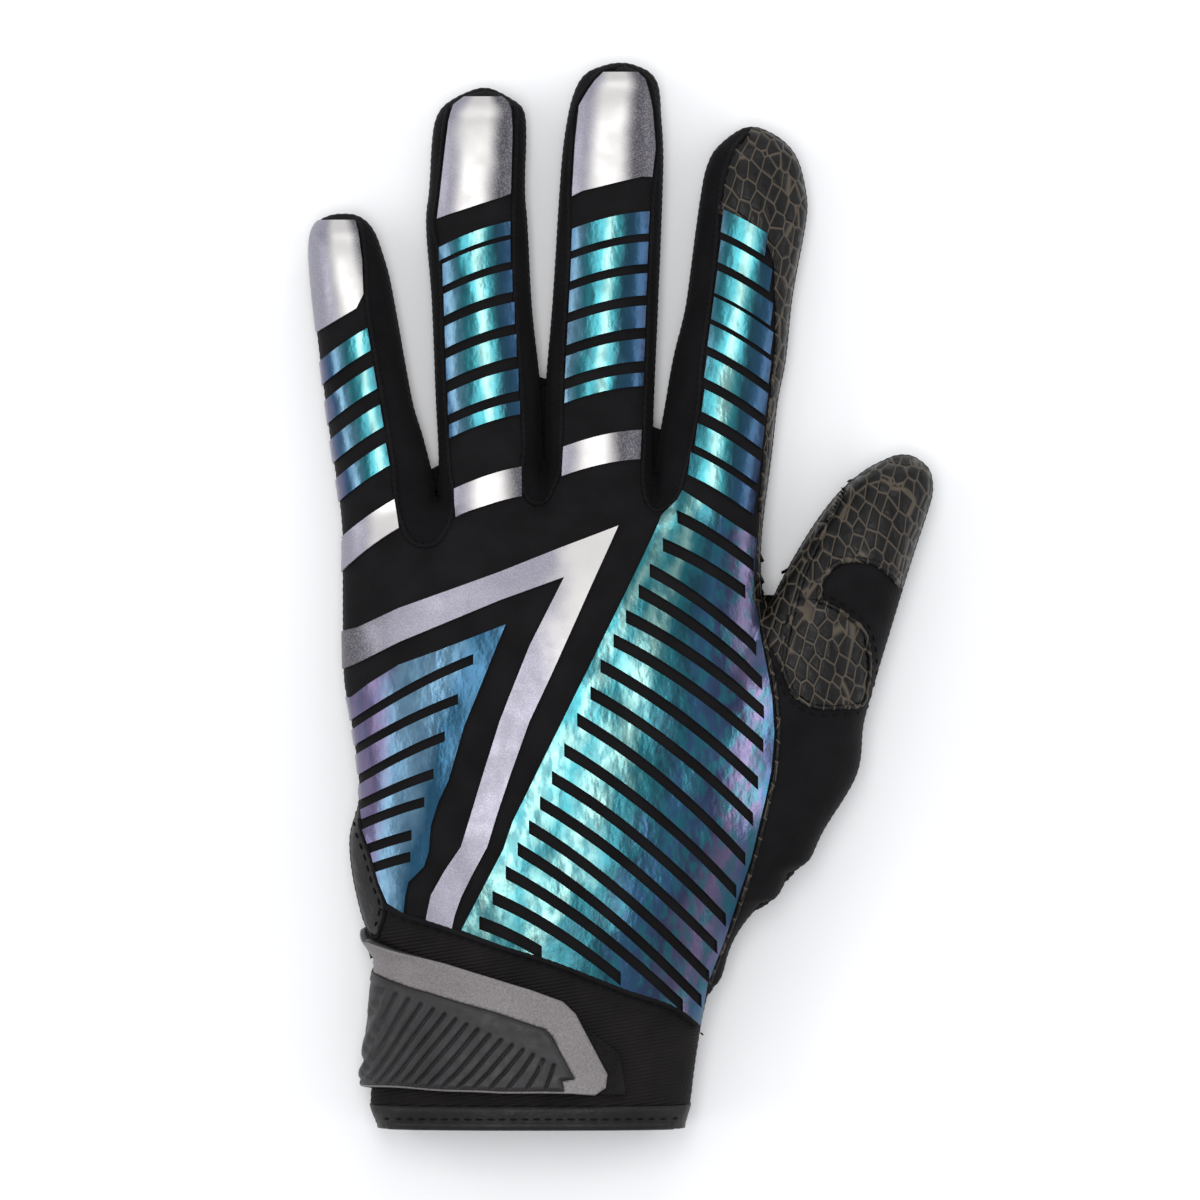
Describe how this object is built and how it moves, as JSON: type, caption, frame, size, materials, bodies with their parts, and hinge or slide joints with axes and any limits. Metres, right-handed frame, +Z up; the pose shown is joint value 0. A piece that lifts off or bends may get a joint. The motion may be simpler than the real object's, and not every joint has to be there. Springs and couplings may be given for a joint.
{
  "type": "batting glove",
  "caption": "Left-hand batting glove with knit back, leather palm, slotted film panels, striped finger film and a wrap-over rubber wrist closure.",
  "frame": {"origin": "the middle of the underside, on the surface that the glove lies on", "axes": "+Y toward the fingertips, +X toward the thumb, +Z up through the back of the hand"},
  "size_m": [0.1404, 0.2394, 0.0306],
  "materials": {
    "knit": "matt fine-ribbed black knit",
    "twill": "black diagonal twill knit",
    "elastic": "black ribbed elastic",
    "leather": "smooth black leather, slight sheen",
    "grip_leather": "black leather embossed with scales, glossy on the ridges",
    "silver_film": "silver foil film with fine sparkle",
    "hologram_film": "colour-shifting foil film, mint to teal, blue and violet",
    "reflective": "grey reflective film",
    "rubber": "dark grey moulded rubber",
    "loop": "black hook-and-loop field"
  },
  "bodies": {
    "root": {"back_panel": "knit", "thumb_knit": "knit", "fourchette_little_ring": "twill", "fourchette_ring_middle": "twill", "fourchette_middle_index": "twill", "palm_leather": "leather", "thumb_palm": "leather", "index_leather": "grip_leather", "thumb_tip": "grip_leather", "thumb_patch": "grip_leather", "thumb_inner_side": "grip_leather", "wrist_flap": "leather", "cuff_binding": "leather", "wrist_band": "elastic", "loop_patch": "loop", "closure_tab": "rubber", "tab_rubber": "rubber", "tab_border": "reflective", "chevron": "silver_film", "tip_cap_little": "silver_film", "tip_cap_ring": "silver_film", "tip_cap_middle": "silver_film", "knuckle_bar_little": "silver_film", "knuckle_bar_ring": "silver_film", "knuckle_bar_middle": "silver_film", "outer_panel": "hologram_film", "main_panel": "hologram_film", "stripe_little_1": "hologram_film", "stripe_little_2": "hologram_film", "stripe_little_3": "hologram_film", "stripe_little_4": "hologram_film", "stripe_ring_1": "hologram_film", "stripe_ring_2": "hologram_film", "stripe_ring_3": "hologram_film", "stripe_ring_4": "hologram_film", "stripe_ring_5": "hologram_film", "stripe_ring_6": "hologram_film", "stripe_ring_7": "hologram_film", "stripe_middle_1": "hologram_film", "stripe_middle_2": "hologram_film", "stripe_middle_3": "hologram_film", "stripe_middle_4": "hologram_film", "stripe_middle_5": "hologram_film", "stripe_middle_6": "hologram_film", "stripe_index_1": "hologram_film", "stripe_index_2": "hologram_film", "stripe_index_3": "hologram_film", "stripe_index_4": "hologram_film", "stripe_index_5": "hologram_film", "stripe_index_6": "hologram_film", "stripe_index_7": "hologram_film", "stripe_index_8": "hologram_film", "stripe_index_9": "hologram_film"}
  },
  "joints": []
}
